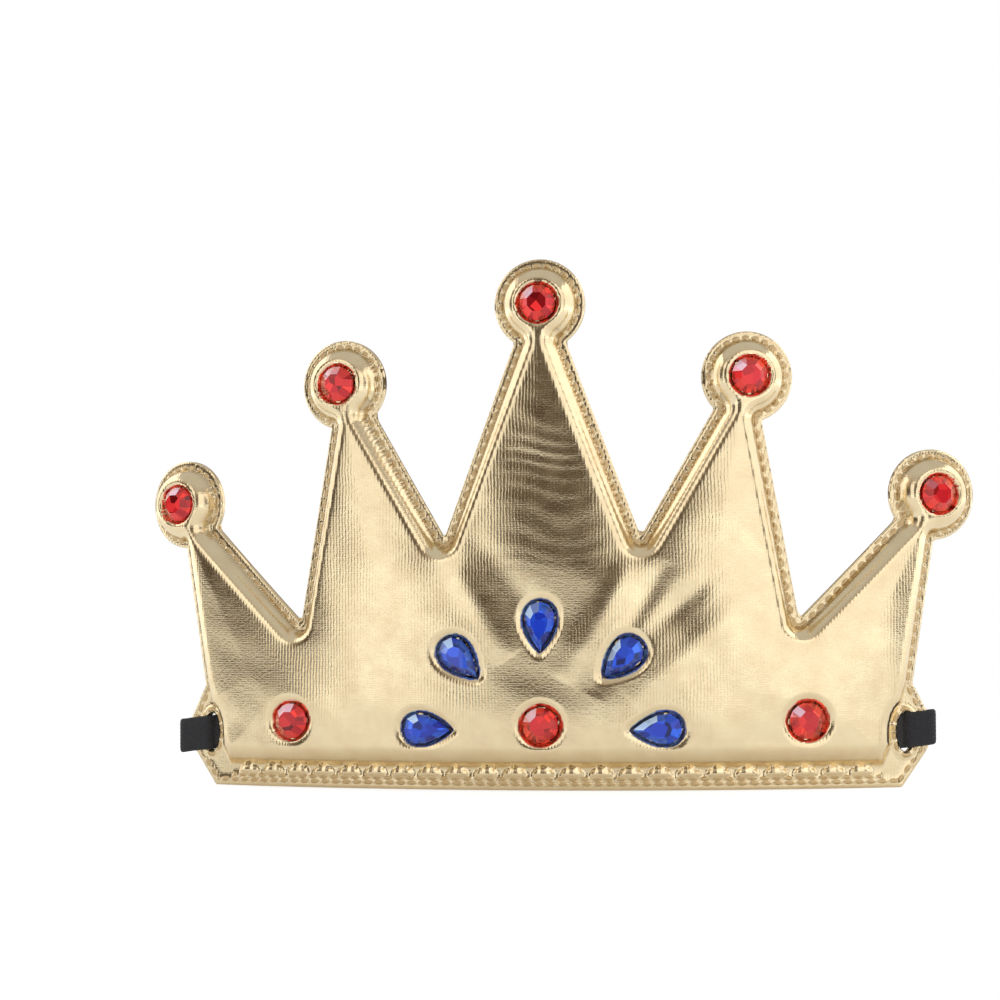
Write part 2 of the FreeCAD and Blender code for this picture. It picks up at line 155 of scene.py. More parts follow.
def border(path, centre_tip=CENTRE_TIP, arc_step=math.radians(4)):
    """Closed border, counter-clockwise: straight runs from tip to tip, with each
    ball's arc from where the run in meets it to where the run out leaves it."""
    def flip(item):
        (along, rise), ball = item
        return (-along, rise), ball and ((-ball[0][0], ball[0][1]), ball[1])

    tips = path + [centre_tip] + [flip(item) for item in reversed(path)]
    ring = []
    for index, (tip, ball) in enumerate(tips):
        tip = np.array(tip)
        if ball is None:
            ring.append(tip[None])
            continue
        before = np.array(tips[index - 1][0])
        after = np.array(tips[(index + 1) % len(tips)][0])
        centre, radius = np.array(ball[0]), ball[1]
        first = nearest_crossing(before, tip, centre, radius) - centre
        last = nearest_crossing(after, tip, centre, radius) - centre
        begin = math.atan2(first[1], first[0])
        sweep = (math.atan2(last[1], last[0]) - begin) % (2 * math.pi)
        turns = begin + np.linspace(0, sweep, int(sweep / arc_step) + 2)
        ring.append(centre + radius * np.stack([np.cos(turns), np.sin(turns)], -1))
    return np.concatenate(ring)


def oval(centre, half_width, half_height, count=40):
    """Closed ring: cosine and sine of the turn, each times its half size."""
    turns = np.linspace(0, 2 * math.pi, count, endpoint=False)
    return np.stack([centre[0] + half_width * np.cos(turns),
                     centre[1] + half_height * np.sin(turns)], -1)


def measure(ring, points, chunk=4096):
    """For each point: distance to a closed border, positive inside, the nearest point
    on it, and how far along the border that lies. Inside is an odd count of crossings
    of the border by a ray to the right."""
    start, end = ring, np.roll(ring, -1, axis=0)
    run = end - start
    length = np.hypot(run[:, 0], run[:, 1])
    travelled = np.concatenate([[0], np.cumsum(length)[:-1]])
    distance = np.empty(len(points))
    nearest = np.empty((len(points), 2))
    station = np.empty(len(points))
    for low in range(0, len(points), chunk):
        part = points[low:low + chunk, None]
        share = np.clip(((part - start) * run).sum(-1) / length ** 2, 0, 1)
        foot = start + share[..., None] * run
        gap = np.hypot(part[..., 0] - foot[..., 0], part[..., 1] - foot[..., 1])
        pick = gap.argmin(1)
        rows = np.arange(len(pick))
        spans = (start[:, 1] > part[..., 1]) != (end[:, 1] > part[..., 1])
        with np.errstate(divide="ignore", invalid="ignore"):
            cross = start[:, 0] + (part[..., 1] - start[:, 1]) / run[:, 1] * run[:, 0]
        odd = (spans & (cross > part[..., 0])).sum(1) % 2 == 1
        distance[low:low + chunk] = np.where(odd, 1, -1) * gap[rows, pick]
        nearest[low:low + chunk] = foot[rows, pick]
        station[low:low + chunk] = travelled[pick] + share[rows, pick] * length[pick]
    return distance, nearest, station


OUTLINE = border(OUTLINE_PATH)
PAD_BASE = border(PAD_PATH)
HOLES = [oval((side * HOLE[0][0], HOLE[0][1]), HOLE[1], HOLE[2]) for side in (-1, 1)]


def trimmed_grid(rings, step, inset=0.0):
    """Square grid cut to the first ring, with the other rings as holes.

    Triangles that keep a corner inside stay, and their outer corners move to the
    nearest point of the border. Returns points, triangles, and the grid cell of each.
    """
    low, high = rings[0].min(0) - 2 * step, rings[0].max(0) + 3 * step
    counts = np.ceil((high - low) / step).astype(int)
    column, row = np.meshgrid(np.arange(counts[0]), np.arange(counts[1]), indexing="ij")
    cells = np.stack([column.ravel(), row.ravel()], -1)
    points = low + cells * step
    distance, nearest, _ = measure(rings[0], points)
    distance -= inset
    for ring in rings[1:]:
        hole, edge, _ = measure(ring, points)
        closer = -hole < distance
        distance = np.where(closer, -hole, distance)
        nearest = np.where(closer[:, None], edge, nearest)
    kept = distance > step / 4
    corner = (column[:-1, :-1] * counts[1] + row[:-1, :-1]).ravel()
    right, up = corner + counts[1], corner + 1
    across = right + 1
    triangles = np.concatenate([np.stack([corner, right, across], -1),
                                np.stack([corner, across, up], -1)])
    triangles = triangles[kept[triangles].any(1)]
    used, triangles = np.unique(triangles, return_inverse=True)
    triangles = triangles.reshape(-1, 3)
    if inset:
        pull = points - nearest
        size = np.maximum(np.hypot(pull[:, 0], pull[:, 1]), 1e-6)[:, None]
        side = np.where(distance + inset > 0, 1, -1)[:, None]
        nearest = nearest + pull / size * side * inset
    points = np.where(kept[:, None], points, nearest)[used]
    return points, triangles, cells[used], kept[used]


def border_edges(triangles):
    """Directed edges that only one triangle uses."""
    edges = np.concatenate([triangles[:, [0, 1]], triangles[:, [1, 2]],
                            triangles[:, [2, 0]]])
    key = np.sort(edges, 1) @ np.array([triangles.max() + 1, 1])
    _, first, count = np.unique(key, return_index=True, return_counts=True)
    return edges[first[count == 1]]


def coarse_copy(points, triangles, cells, free, block):
    """The same sheet with its free points merged, block by block, to their mean."""
    square = (cells[:, 0] // block) * 100000 + cells[:, 1] // block
    _, owner = np.unique(square, return_inverse=True)
    owner = owner.ravel()
    whole_square = np.bincount(owner, free)[owner] == block * block
    label = np.where(whole_square, square, -1 - np.arange(len(points)))
    _, merged = np.unique(label, return_inverse=True)
    merged = merged.ravel()
    share = np.bincount(merged)
    mean = np.stack([np.bincount(merged, points[:, axis]) / share for axis in (0, 1)], -1)
    small = merged[triangles]
    whole = ((small[:, 0] != small[:, 1]) & (small[:, 1] != small[:, 2])
             & (small[:, 2] != small[:, 0]))
    return mean, small[whole], merged


def shell(name, points, triangles, cells, front, back, block, deep):
    """Closed piece from a trimmed sheet: front levels on the fine sheet, back levels
    on a coarse copy that keeps the rim's points, and a wall along every border edge."""
    rim = border_edges(triangles)
    free = deep.copy()
    free[np.unique(rim)] = False
    behind, lower, merged = coarse_copy(points, triangles, cells, free, block)
    count = len(points)
    wall_a = np.stack([rim[:, 1], rim[:, 0], merged[rim[:, 0]] + count], -1)
    wall_b = np.stack([rim[:, 1], merged[rim[:, 0]] + count,
                       merged[rim[:, 1]] + count], -1)
    faces = np.concatenate([triangles, lower[:, ::-1] + count, wall_a, wall_b])
    places = np.concatenate([wrap(points[:, 0], points[:, 1], front),
                             wrap(behind[:, 0], behind[:, 1], back(behind))])
    flat = np.concatenate([points, behind])
    piece = new_mesh(name, places, faces)
    add_uv(piece, "pattern", flat)
    return piece, flat


def add_uv(piece, name, flat):
    """UV map in metres from one flat point for each vertex."""
    mesh = piece.data
    corners = np.empty(len(mesh.loops), np.int32)
    mesh.loops.foreach_get("vertex_index", corners)
    layer = mesh.uv_layers.new(name=name)
    layer.data.foreach_set("uv", (flat[corners] * MM).astype(np.float32).ravel())


def new_mesh(name, places, faces, sharp=math.radians(60)):
    """Smooth mesh object from arrays of places and equal-sided faces."""
    mesh = bpy.data.meshes.new(name)
    mesh.vertices.add(len(places))
    mesh.vertices.foreach_set("co", np.asarray(places, np.float32).ravel())
    width = faces.shape[1]
    mesh.loops.add(faces.size)
    mesh.loops.foreach_set("vertex_index", faces.ravel().astype(np.int32))
    mesh.polygons.add(len(faces))
    mesh.polygons.foreach_set("loop_start", np.arange(len(faces), dtype=np.int32) * width)
    mesh.update(calc_edges=True)
    mesh.polygons.foreach_set("use_smooth", np.ones(len(faces), bool))
    mesh.set_sharp_from_angle(angle=sharp)
    mesh.validate()
    return linked(name, mesh)


def linked(name, mesh):
    """Object of the mesh, in the scene."""
    piece = bpy.data.objects.new(name, mesh)
    bpy.context.scene.collection.objects.link(piece)
    return piece


def swept_mesh(name, places, around, inward=False):
    """Closed tube from rings of places: a quad joins each place to the next place and
    the next ring, and a cap closes each end. Inward turns the faces round."""
    rings = len(places) // around
    row, column = np.meshgrid(np.arange(rings - 1), np.arange(around), indexing="ij")
    here = row * around + column
    beside = row * around + (column + 1) % around
    quads = np.stack([here, beside, beside + around, here + around], -1).reshape(-1, 4)
    caps = [list(range(around))[::-1], list(range(len(places) - around, len(places)))]
    if inward:
        quads = quads[:, [0, 3, 2, 1]]
        caps = [cap[::-1] for cap in caps]
    mesh = bpy.data.meshes.new(name)
    mesh.from_pydata(places.tolist(), [], quads.tolist() + caps)
    mesh.polygons.foreach_set("use_smooth", np.ones(len(mesh.polygons), bool))
    return mesh


def store(piece, name, values):
    """Keep one number for each vertex, for the material to read."""
    layer = piece.data.attributes.new(name, "FLOAT", "POINT")
    layer.data.foreach_set("value", np.asarray(values, np.float32))


def bump_at(distance, centre, half_width):
    """Smooth ridge of height 1: a Gaussian of the distance from its centre line."""
    return np.exp(-((distance - centre) / half_width) ** 2)


def dome(u, v, half_u, half_v):
    """Half ellipsoid of height 1 over an oval."""
    return np.sqrt(np.clip(1 - (u / half_u) ** 2 - (v / half_v) ** 2, 0, 1))


def smooth_step(value, low, high):
    """Ease from 0 at low to 1 at high: t squared times (3 - 2 t)."""
    t = np.clip((value - low) / (high - low), 0, 1)
    return t * t * (3 - 2 * t)


def teardrop(length, width, count):
    """Tip-down teardrop: across = sin t sin(t/2), up = -cos t, each scaled to size."""
    turn = np.linspace(0, 2 * math.pi, count, endpoint=False)
    widest = 4 / (3 * math.sqrt(3))
    return np.stack([width / 2 / widest * np.sin(turn) * np.sin(turn / 2),
                     -length / 2 * np.cos(turn)], -1)


def turned(points, degrees):
    """Turn flat points about the origin, positive towards +along at the tip."""
    angle = math.radians(degrees)
    c, s = math.cos(angle), math.sin(angle)
    return points @ np.array([[c, s], [-s, c]])


def seats(points, level):
    """Dimple the padding round every stone and sink a flat floor under it.

    Going out from the stone's edge, the level eases from the floor up to the lip, and
    from the lip to the level of the padding.
    """
    def press(level, outside):
        near = SEAT_LIP + (level - SEAT_LIP) * smooth_step(outside, 0.6, DIMPLE_REACH)
        wall = smooth_step(outside, 0.15, 0.9)
        floor = SEAT_FLOOR - SEAT_SLACK
        return np.where(outside < DIMPLE_REACH, floor + (near - floor) * wall, level)

    for _, along, rise in RED_STONES:
        outside = np.hypot(points[:, 0] - along, points[:, 1] - rise) - RED_RADIUS
        level = press(level, outside)
    for _, along, rise, swing in BLUE_STONES:
        edge = turned(teardrop(BLUE_LENGTH, BLUE_WIDTH, 48), swing) + (along, rise)
        near = np.hypot(points[:, 0] - along, points[:, 1] - rise) < BLUE_LENGTH
        distance, _, _ = measure(edge, points[near])
        level[near] = press(level[near], -distance)
    return level


def fold(points, start, end, width, height):
    """Soft crease: a Gaussian of the distance to a straight run, faded at its ends."""
    start, end = np.array(start), np.array(end)
    run = end - start
    share = ((points - start) @ run) / (run @ run)
    foot = start + np.clip(share, 0, 1)[:, None] * run
    gap = np.hypot(*(points - foot).T)
    fade = np.sin(np.clip(share, 0, 1) * math.pi) ** 0.5
    return height * np.exp(-(gap / width) ** 2) * fade


# Soft folds of the cloth: start, end, half width and height
FOLDS = [
    ((27.0, 66.0), (6.0, 30.0), 3.2, 0.35),
    ((34.0, 62.0), (14.0, 26.0), 3.0, -0.35),
    ((60.0, 56.0), (24.0, 24.0), 4.0, 0.30),
    ((48.0, 60.0), (20.0, 34.0), 3.2, -0.30),
    ((-26.0, 66.0), (-8.0, 36.0), 3.5, 0.28),
    ((-20.0, 70.0), (2.0, 46.0), 4.0, -0.22),
]


def cloth_waves(points, seed=7, count=14):
    """Sum of sine waves with seeded directions, lengths and phases."""
    rng = np.random.default_rng(seed)
    total = np.zeros(len(points))
    for _ in range(count):
        heading = rng.uniform(0, math.pi)
        length = rng.uniform(9, 46)
        phase = rng.uniform(0, 2 * math.pi)
        travel = points @ np.array([math.cos(heading), math.sin(heading)])
        total += length / 46 * np.sin(2 * math.pi * travel / length + phase)
    return total / math.sqrt(count)


def pad_level(points, inside):
    """Height of the stuffed area: a rounded shoulder that follows a power of the share
    of its width, then a slow swell, with waves, fine creases and folds."""
    low = 1 - smooth_step(points[:, 1], HEM_HEIGHT + 1, HEM_HEIGHT + 9)
    share = np.clip(inside / (SHOULDER + 3.5 * low), 0, 1)
    level = PAD_RISE * (1 - (1 - share) ** 2.4) ** 0.72
    level *= 1 - 0.14 * np.exp(-np.clip(inside, 0, None) / 9)
    soft = smooth_step(inside, 1.5, 9.0)
    level += soft * 0.22 * cloth_waves(points)
    spike = np.exp(-(points[:, 0] / 22) ** 2) * smooth_step(points[:, 1], 55, 75)
    level += soft * spike * 0.028 * np.sin(2 * math.pi * points[:, 1] / 4.4
                                           + 2.6 * np.sin(points[:, 0] / 5)
                                           + 3.0 * np.sin(points[:, 1] / 5 + 1))
    for start, end, width, height in FOLDS:
        level += soft * fold(points, start, end, width, height)
    return level


def seam_level(points, inside):
    """Pressed seam: a Gaussian each for the rolled lip and for the ridges that carry
    the stitches, less a fall at the cut edge."""
    hem = bump_at(points[:, 1], HEM_ROW, 0.6) * (np.abs(points[:, 0]) < PAD_BASE_HALF)
    return (0.35 * bump_at(inside, 0.45, 0.35) + 0.30 * bump_at(inside, STITCH_ROW, 0.7)
            + 0.30 * hem
            - 0.35 * np.exp(-np.clip(inside, 0, None) / 0.2))


def hole_gap(points):
    """Distance outwards from the nearer ear hole, and the turn round its middle."""
    away = np.minimum(*(-measure(ring, points)[0] for ring in HOLES))
    turn = np.arctan2(points[:, 1] - HOLE[0][1], np.abs(points[:, 0]) - HOLE[0][0])
    return away, turn


def stitch_map(points, ring_stitches=10):
    """Run along the seam and distance in from its cut edge, which place the stitches.
    Round each ear hole the run is the turn and the distance is from the hole."""
    inside, _, station = measure(OUTLINE, points)
    away, turn = hole_gap(points)
    near = away < 2.4
    run = np.where(near, turn / (2 * math.pi) * ring_stitches * STITCH_PITCH, station)
    return np.stack([run, np.where(near, away + STITCH_ROW - EAR_ROW, inside)], -1)


def scallop_level(points):
    """Row of half-round puffs that stand on the hem's upper stitches."""
    along = np.clip(np.round(points[:, 0] / SCALLOP_PITCH), -SCALLOP_STEPS, SCALLOP_STEPS)
    offset = points[:, 0] - along * SCALLOP_PITCH
    puff = dome(offset, points[:, 1] - SCALLOP_BASE, SCALLOP_RADIUS, SCALLOP_RADIUS)
    return puff * smooth_step(points[:, 1], SCALLOP_BASE - 0.2, SCALLOP_BASE + 0.6)


def front_relief(points):
    """Level of the front cover, and a 0 to 1 mask where its creases get painted shade."""
    inside = measure(OUTLINE, points)[0]
    away = hole_gap(points)[0]
    spread = PAD_SPREAD * smooth_step(points[:, 1], HEM_HEIGHT, HEM_HEIGHT + 6)
    pad_inside = measure(PAD_BASE, points)[0] - SEAM_WIDTH + spread
    pad_inside = np.minimum(pad_inside, away - EAR_RING)
    puffs = scallop_level(points)
    low = np.maximum(seam_level(points, inside), 1.5 * puffs)
    low = np.maximum(low, 0.55 * dome(away - EAR_ROW, 0, 1.0, 1))
    pad = seats(points, pad_level(points, pad_inside))
    level = np.where(pad_inside > 0, np.maximum(pad, low), low)
    # Painted shade mask: the seam's inner crease and the padding's foot, where shade falls
    crease = 0.7 * bump_at(inside, 0.85, 0.22) * (points[:, 1] > 5)
    foot = 0.8 * bump_at(pad_inside, 0.0, 0.35) * (away > 3)
    foot *= points[:, 1] > HEM_HEIGHT + 2
    return level, np.clip(np.maximum(crease, foot) * (1 - puffs), 0, 1)


def front_cover():
    """Foil cloth over the padding, pressed down along the seam and under each stone."""
    points, triangles, cells, kept = trimmed_grid([OUTLINE] + HOLES, 0.54)
    level, crease = front_relief(points)
    deep = kept & (measure(OUTLINE, points)[0] > 2)
    piece, flat = shell("front_cover_cloth", points, triangles, cells, level,
                        lambda flat: np.full(len(flat), -COVER_PLY), 3, deep)
    # The crease mask is kept only to paint shade into the foil's colour
    store(piece, "crease", np.concatenate([crease, np.zeros(len(flat) - len(crease))]))
    add_uv(piece, "stitches", stitch_map(flat))
    return piece


def back_cover():
    """Flat backing cloth, dished along its pressed seam."""
    points, triangles, cells, _ = trimmed_grid([OUTLINE] + HOLES, 1.1)

    def rear(flat):
        depth = measure(OUTLINE, flat)[0]
        swell = smooth_step(depth, 2.5, 6.0)
        soft = 0.25 * cloth_waves(flat, seed=11) * smooth_step(depth, 3, 12)
        return -SHELL_PLY - 0.45 * swell - soft

    piece, flat = shell("back_cover_cloth", points, triangles, cells,
                        np.full(len(points), -COVER_PLY), rear, 1,
                        np.zeros(len(points), bool))
    add_uv(piece, "stitches", stitch_map(flat))
    return piece


def foam_core():
    """Sealed foam between the cloths, one ply inside the front cover."""
    points, triangles, cells, _ = trimmed_grid([PAD_BASE], 1.4, SEAM_WIDTH + 1.0)
    level = front_relief(points)[0] - 2 * COVER_PLY
    return shell("foam_core", points, triangles, cells, np.maximum(level, -0.3),
                 lambda flat: np.full(len(flat), -COVER_PLY + 0.05), 1,
                 np.zeros(len(points), bool))[0]


# Facets that face this way get a painted highlight and show almost white
PAINTED_GLINT_AIM = np.array([-0.50, -0.62, 0.60])


def local_frame(along):
    """Unit vectors at a spot on the crown: along the cloth, up, and outwards."""
    turn = along / BEND_RADIUS
    return (np.array([math.cos(turn), math.sin(turn), 0.0]), np.array([0.0, 0.0, 1.0]),
            np.array([math.sin(turn), -math.cos(turn), 0.0]))


def faceted_stone(name, along, rise, girdle_edge, table_edge, girdle, height, split):
    """Flat-backed cut stone: a girdle, a crown of facets and a flat table.

    The table has n corners. With split the girdle has two corners for each of them, so
    that three-sided facets stand between the four-sided ones.
    """
    n = len(table_edge)
    m = len(girdle_edge)
    base = 0.02
    levels = np.concatenate([np.full(m, base), np.full(m, girdle), np.full(n, height)])
    flat = np.concatenate([girdle_edge, girdle_edge, table_edge])
    tangent, up, outward = local_frame(along)
    centre = wrap(along, rise, SEAT_FLOOR)
    places = centre + MM * (flat[:, :1] * tangent + flat[:, 1:] * up
                            + levels[:, None] * outward)
    faces = [list(range(m))[::-1], list(range(2 * m, 2 * m + n))]
    faces += [[k, (k + 1) % m, m + (k + 1) % m, m + k] for k in range(m)]
    for k in range(n):
        after = (k + 1) % n
        if split:
            faces.append([m + 2 * k, m + 2 * k + 1, 2 * m + k])
            faces.append([m + 2 * k + 1, m + (2 * k + 2) % m, 2 * m + after, 2 * m + k])
        else:
            faces.append([m + k, m + after, 2 * m + after, 2 * m + k])
    mesh = bpy.data.meshes.new(name)
    mesh.from_pydata(places.tolist(), [], faces)
    normals = np.empty((len(faces), 3), np.float32)
    mesh.polygons.foreach_get("normal", normals.ravel())
    facing = normals @ (PAINTED_GLINT_AIM / np.linalg.norm(PAINTED_GLINT_AIM))
    # Painted reflection: each facet gets its own brightness, and the table (face 1) a dark
    # one
    painted_facet_tone = 0.5 + 0.5 * np.sin(np.arange(len(faces)) * 2.4)
    painted_facet_tone[1] = 0.15
    for label, values in (("painted_glint", smooth_step(facing, 0.90, 0.95)), ("painted_facet_tone", painted_facet_tone)):
        layer = mesh.attributes.new(label, "FLOAT", "FACE")
        layer.data.foreach_set("value", values.astype(np.float32))
    return linked(name, mesh)


def circle(radius, degrees):
    """Points of a circle at the given turns."""
    turns = np.radians(degrees)
    return radius * np.stack([np.cos(turns), np.sin(turns)], -1)


def red_stone(number, along, rise, facets=8):
    """Round stone: an even table, and two girdle corners 10 degrees to each side of
    each of its corners."""
    corners = np.arange(facets) * 360 / facets + 22.5
    rim = np.stack([corners - 10, corners + 10], -1).ravel()
    return faceted_stone(f"red_faceted_stone_{number}", along, rise,
                         circle(RED_RADIUS, rim), circle(RED_TABLE, corners),
                         RED_GIRDLE, RED_HEIGHT, True)


def blue_stone(number, along, rise, swing, facets=12):
    """Teardrop stone whose table is its own edge, made smaller."""
    edge = turned(teardrop(BLUE_LENGTH, BLUE_WIDTH, facets), swing)
    return faceted_stone(f"blue_teardrop_stone_{number}", along, rise,
                         edge, edge * BLUE_TABLE_SHARE, BLUE_GIRDLE, BLUE_HEIGHT, False)


def rounded_path(corners, radii, step=0.35):
    """Straight runs joined by arcs of the given radii, as closely spaced points."""
    line = [corners[0]]
    for before, corner, after, radius in zip(corners, corners[1:], corners[2:], radii):
        back = (before - corner) / np.linalg.norm(before - corner)
        ahead = (after - corner) / np.linalg.norm(after - corner)
        half = math.acos(np.clip(back @ ahead, -1, 1)) / 2
        reach = radius / math.tan(half)
        middle = (back + ahead) / np.linalg.norm(back + ahead)
        centre = corner + middle * radius / math.sin(half)
        first, last = corner + back * reach - centre, corner + ahead * reach - centre
        sweep = math.pi - 2 * half
        turns = np.linspace(0, sweep, max(4, int(radius * sweep / step)))[:, None]
        arc = (first * np.sin(sweep - turns) + last * np.sin(turns)) / math.sin(sweep)
        line.extend(centre + arc)
    line.append(corners[-1])
    line = np.array(line)
    gone = np.concatenate([[0], np.cumsum(np.linalg.norm(np.diff(line, axis=0), axis=1))])
    even = np.linspace(0, gone[-1], int(gone[-1] / (2 * step)))
    return np.stack([np.interp(even, gone, line[:, axis]) for axis in range(2)], -1)


# Elastic strap: how far along its layers lie, and the loop's outer turn on each side
STRAP_WIDTH = 9.6
STRAP_PLY = 1.2
STRAP_RISE = 15.0
TAIL_ALONG = 99.7
MAIN_ALONG = 101.1
STRAP_BACK = -16.0
EAR_REACH = {1: 108.3, -1: 110.9}
EAR_TILT = {1: (1.0, 1.5), -1: (-0.25, -1.4)}


def ear_loop(side):
    """Plan of one ear's loop, from the tail through the hole, round the ear and back,
    and the rise of its middle line, which leans at the outer turn as it hangs."""
    reach = EAR_REACH[side]
    stops = [(TAIL_ALONG, STRAP_BACK), (TAIL_ALONG, 0.8), (reach, 0.8),
             (reach, -2.0), (MAIN_ALONG, -2.0), (MAIN_ALONG, STRAP_BACK)]
    corners = np.array([wrap(side * along, 0.0, level)[:2] / MM for along, level in stops])
    path = rounded_path(list(corners), [1.0, 1.35, 1.35, 1.0])
    out = np.clip((np.abs(path[:, 0]) - 92) / 15, 0, 1)
    front = smooth_step(np.arange(len(path)) / len(path), 0.2, 0.35)
    lean = EAR_TILT[side][0] + (EAR_TILT[side][1] - EAR_TILT[side][0]) * out
    settle = smooth_step(path[:, 1], -22.0, -34.0)
    return path, STRAP_RISE + lean * np.maximum(settle, front * out)


def strap_path():
    """Left tail, left loop, one arc behind the head's place, right loop, right tail."""
    left, left_rise = ear_loop(-1)
    right, right_rise = ear_loop(1)
    turn = MAIN_ALONG / BEND_RADIUS
    start = left[-1]
    radius = -start[0] / math.cos(turn)
    centre = np.array([0.0, start[1] - radius * math.sin(turn)])
    sweep = np.linspace(math.pi - turn, turn, 220)[1:-1]
    arc = centre + radius * np.stack([np.cos(sweep), np.sin(sweep)], -1)
    path = np.concatenate([left, arc, right[::-1]])
    sway = 0.35 * np.sin(np.linspace(0, 5 * math.pi, len(arc)))
    rise = np.concatenate([left_rise, STRAP_RISE + sway, right_rise[::-1]])
    return path, rise


def elastic_strap(ribs=9, across=37):
    """Woven band swept along its path. Its half thickness is 1 less a high power of
    the share of its width, times a cosine for each rib."""
    path, rise = strap_path()
    ahead = np.gradient(path, axis=0)
    ahead /= np.linalg.norm(ahead, axis=1)[:, None]
    side = np.stack([-ahead[:, 1], ahead[:, 0]], -1)
    share = np.linspace(-1, 1, across)
    rib = 0.5 + 0.5 * np.cos(ribs * 2 * math.pi * share / 2)
    half = STRAP_PLY / 2 * (1 - np.abs(share) ** 14) * (0.88 + 0.12 * rib)
    loop_rise = np.concatenate([share, share[::-1][1:-1]]) * STRAP_WIDTH / 2
    loop_side = np.concatenate([half, -half[::-1][1:-1]])
    count = len(loop_rise)
    flat = path[:, None] + side[:, None] * loop_side[None, :, None]
    tall = rise[:, None] + loop_rise[None] + 0 * loop_side[None]
    places = np.concatenate([flat, tall[..., None]], -1).reshape(-1, 3) * MM
    mesh = swept_mesh("woven_elastic_strap", places, count, inward=True)
    mesh.set_sharp_from_angle(angle=math.radians(75))
    piece = linked("woven_elastic_strap", mesh)
    gone = np.concatenate([[0], np.cumsum(np.linalg.norm(np.diff(path, axis=0), axis=1))])
    add_uv(piece, "pattern",
           np.stack([np.repeat(gone, count), np.tile(loop_rise, len(path))], -1))
    return piece


def tack_stitches(name, node, side, passes=9, around=8, radius=0.19):
    """Zigzag of thread that holds a tail: a triangle wave along the tail, swept as one
    round tube that dips into the elastic at each end of a pass."""
    low, high = (np.array(corner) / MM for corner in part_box(node))
    middle = (low + high) / 2
    turn = side * TAIL_ALONG / BEND_RADIUS
    rear = np.array([-math.sin(turn), math.cos(turn), 0.0])
    face = np.array([-side * math.cos(turn), -side * math.sin(turn), 0.0])
    half_rise = (high[2] - low[2]) / 2 - radius
    half_run = (high[1] - low[1]) / 2 - 0.4
    step = np.linspace(0, 1, passes * 10 + 1)
    wave = 2 * np.abs(2 * (step * passes / 2 - np.floor(step * passes / 2 + 0.5))) - 1
    lift = -0.12 + 0.16 * (1 - wave ** 6)
    line = (middle + np.outer(2 * step - 1, rear) * half_run
            + np.outer(wave, [0, 0, 1]) * half_rise + np.outer(lift, face))
    ahead = np.gradient(line, axis=0)
    ahead /= np.linalg.norm(ahead, axis=1)[:, None]
    flank = np.cross(ahead, face)
    flank /= np.linalg.norm(flank, axis=1)[:, None]
    over = np.cross(ahead, flank)
    turns = np.linspace(0, 2 * math.pi, around, endpoint=False)
    ring = (np.cos(turns)[None, :, None] * flank[:, None]
            + np.sin(turns)[None, :, None] * over[:, None]) * radius
    places = (line[:, None] + ring).reshape(-1, 3) * MM
    return linked(name, swept_mesh(name, places, around))


def new_node(tree, kind, inputs=None, **settings):
    """Node with its settings, and each named input linked or given its value."""
    node = tree.nodes.new(kind)
    for key, value in settings.items():
        setattr(node, key, value)
    for key, value in (inputs or {}).items():
        feed(tree, node.inputs[key], value)
    return node


def feed(tree, socket, value):
    """Link a socket to another one, or give it a plain value."""
    if isinstance(value, bpy.types.NodeSocket):
        tree.links.new(value, socket)
    else:
        socket.default_value = value


def compute(tree, operation, *values):
    """Result of one Math node on linked or plain values."""
    node = tree.nodes.new("ShaderNodeMath")
    node.operation = operation
    for socket, value in zip(node.inputs, values):
        feed(tree, socket, value)
    return node.outputs[0]


def mix_colour(tree, share, first, second):
    """Colour between the first, at share 0, and the second, at share 1."""
    node = new_node(tree, "ShaderNodeMix", data_type="RGBA")
    feed(tree, node.inputs[0], share)
    feed(tree, node.inputs[6], first)
    feed(tree, node.inputs[7], second)
    return node.outputs[2]


def remap(tree, value, low, high, to_low, to_high):
    """Straight line from to_low at low to to_high at high, held beyond them."""
    return new_node(tree, "ShaderNodeMapRange",
                    {"Value": value, "From Min": low, "From Max": high,
                     "To Min": to_low, "To Max": to_high}).outputs[0]


def noise(tree, vector, scale, detail=2.0, rough=0.5):
    """Soft noise, 0 to 1, with the given number of waves in a metre."""
    return new_node(tree, "ShaderNodeTexNoise",
                    {"Vector": vector, "Scale": scale, "Detail": detail,
                     "Roughness": rough}).outputs[0]


def effect_group(name, inputs, outputs):
    """Empty node group: its tree, its float inputs, and its outputs by name and kind."""
    tree = bpy.data.node_groups.new(name, "ShaderNodeTree")
    for label in inputs:
        tree.interface.new_socket(label, in_out="INPUT", socket_type="NodeSocketFloat")
    for label, kind in outputs.items():
        tree.interface.new_socket(label, in_out="OUTPUT", socket_type=f"NodeSocket{kind}")
    given = tree.nodes.new("NodeGroupInput").outputs
    return tree, given, tree.nodes.new("NodeGroupOutput").inputs


